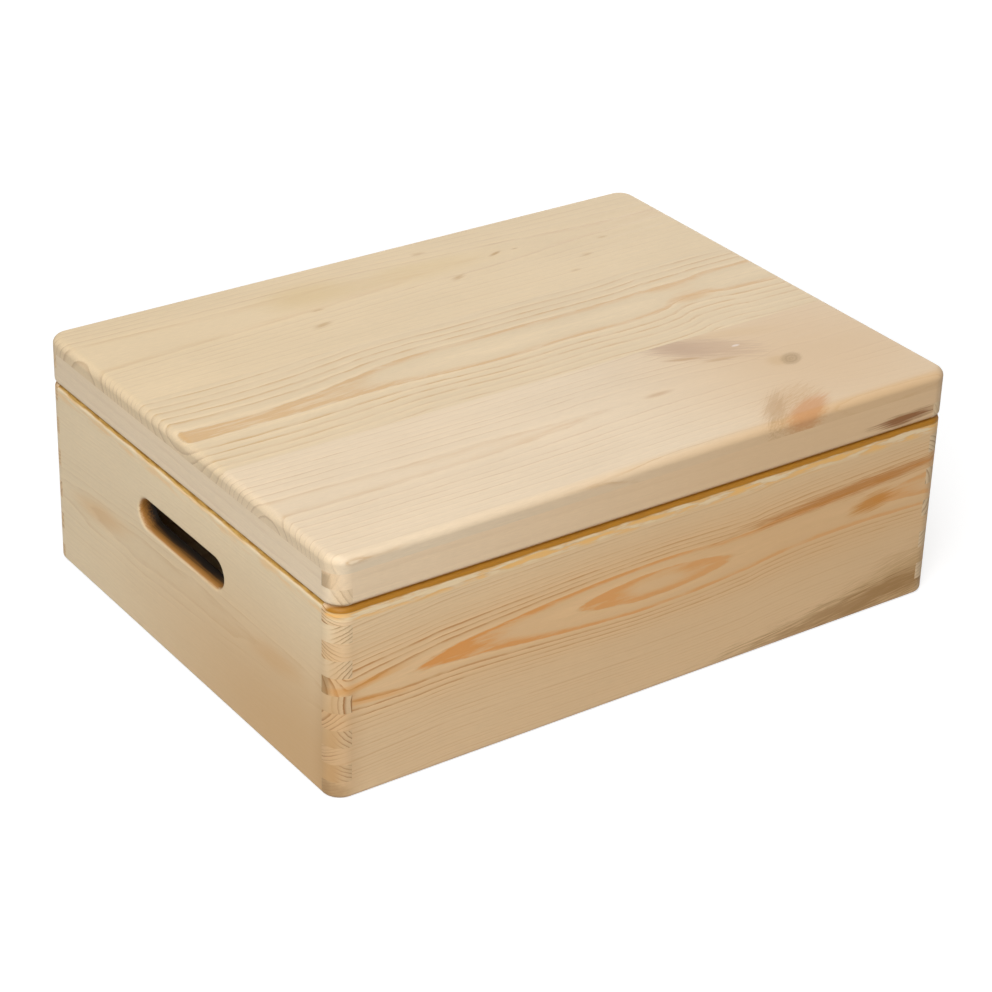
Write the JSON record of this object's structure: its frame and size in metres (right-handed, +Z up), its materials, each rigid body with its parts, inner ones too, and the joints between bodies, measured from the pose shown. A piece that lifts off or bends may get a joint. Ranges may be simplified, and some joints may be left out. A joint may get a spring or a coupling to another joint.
{
  "type": "storage box",
  "caption": "Rectangular pine box for papers and keepsakes, finger-jointed at the corners, with a hand slot in each end and a lid hinged along the back.",
  "frame": {"origin": "middle of the underside, on the surface that the box stands on", "axes": "+X along the length towards the right-hand end, +Y from the front to the hinged back, +Z up"},
  "size_m": [0.4, 0.3035, 0.14],
  "materials": {
    "pine_box": "sanded, unfinished pine with knots and end grain",
    "pine_lid": "sanded, unfinished pine with knots and end grain",
    "plywood": "sanded thin plywood",
    "hinge_brass": "brass-plated, satin",
    "hinge_pin_steel": "plain drawn wire",
    "screw_brass": "brass-plated, satin"
  },
  "bodies": {
    "box": {"front_board": "pine_box", "back_board": "pine_box", "left_side": "pine_box", "right_side": "pine_box", "bottom_panel": "plywood", "left_hinge_box_leaf": "hinge_brass", "right_hinge_box_leaf": "hinge_brass", "left_hinge_pin": "hinge_pin_steel", "right_hinge_pin": "hinge_pin_steel", "box_leaf_screws": "screw_brass"},
    "lid": {"lid_front_rail": "pine_lid", "lid_back_rail": "pine_lid", "lid_left_rail": "pine_lid", "lid_right_rail": "pine_lid", "lid_back_stave": "pine_lid", "lid_middle_stave": "pine_lid", "lid_front_stave": "pine_lid", "left_hinge_lid_leaf": "hinge_brass", "right_hinge_lid_leaf": "hinge_brass", "lid_leaf_screws": "screw_brass"}
  },
  "joints": [
    {"name": "lid_hinge", "type": "hinge", "parent": "box", "child": "lid", "pos_m": [0, 0.15149, 0.112], "axis": [-1, 0, 0], "range_deg": [0, 185]}
  ]
}
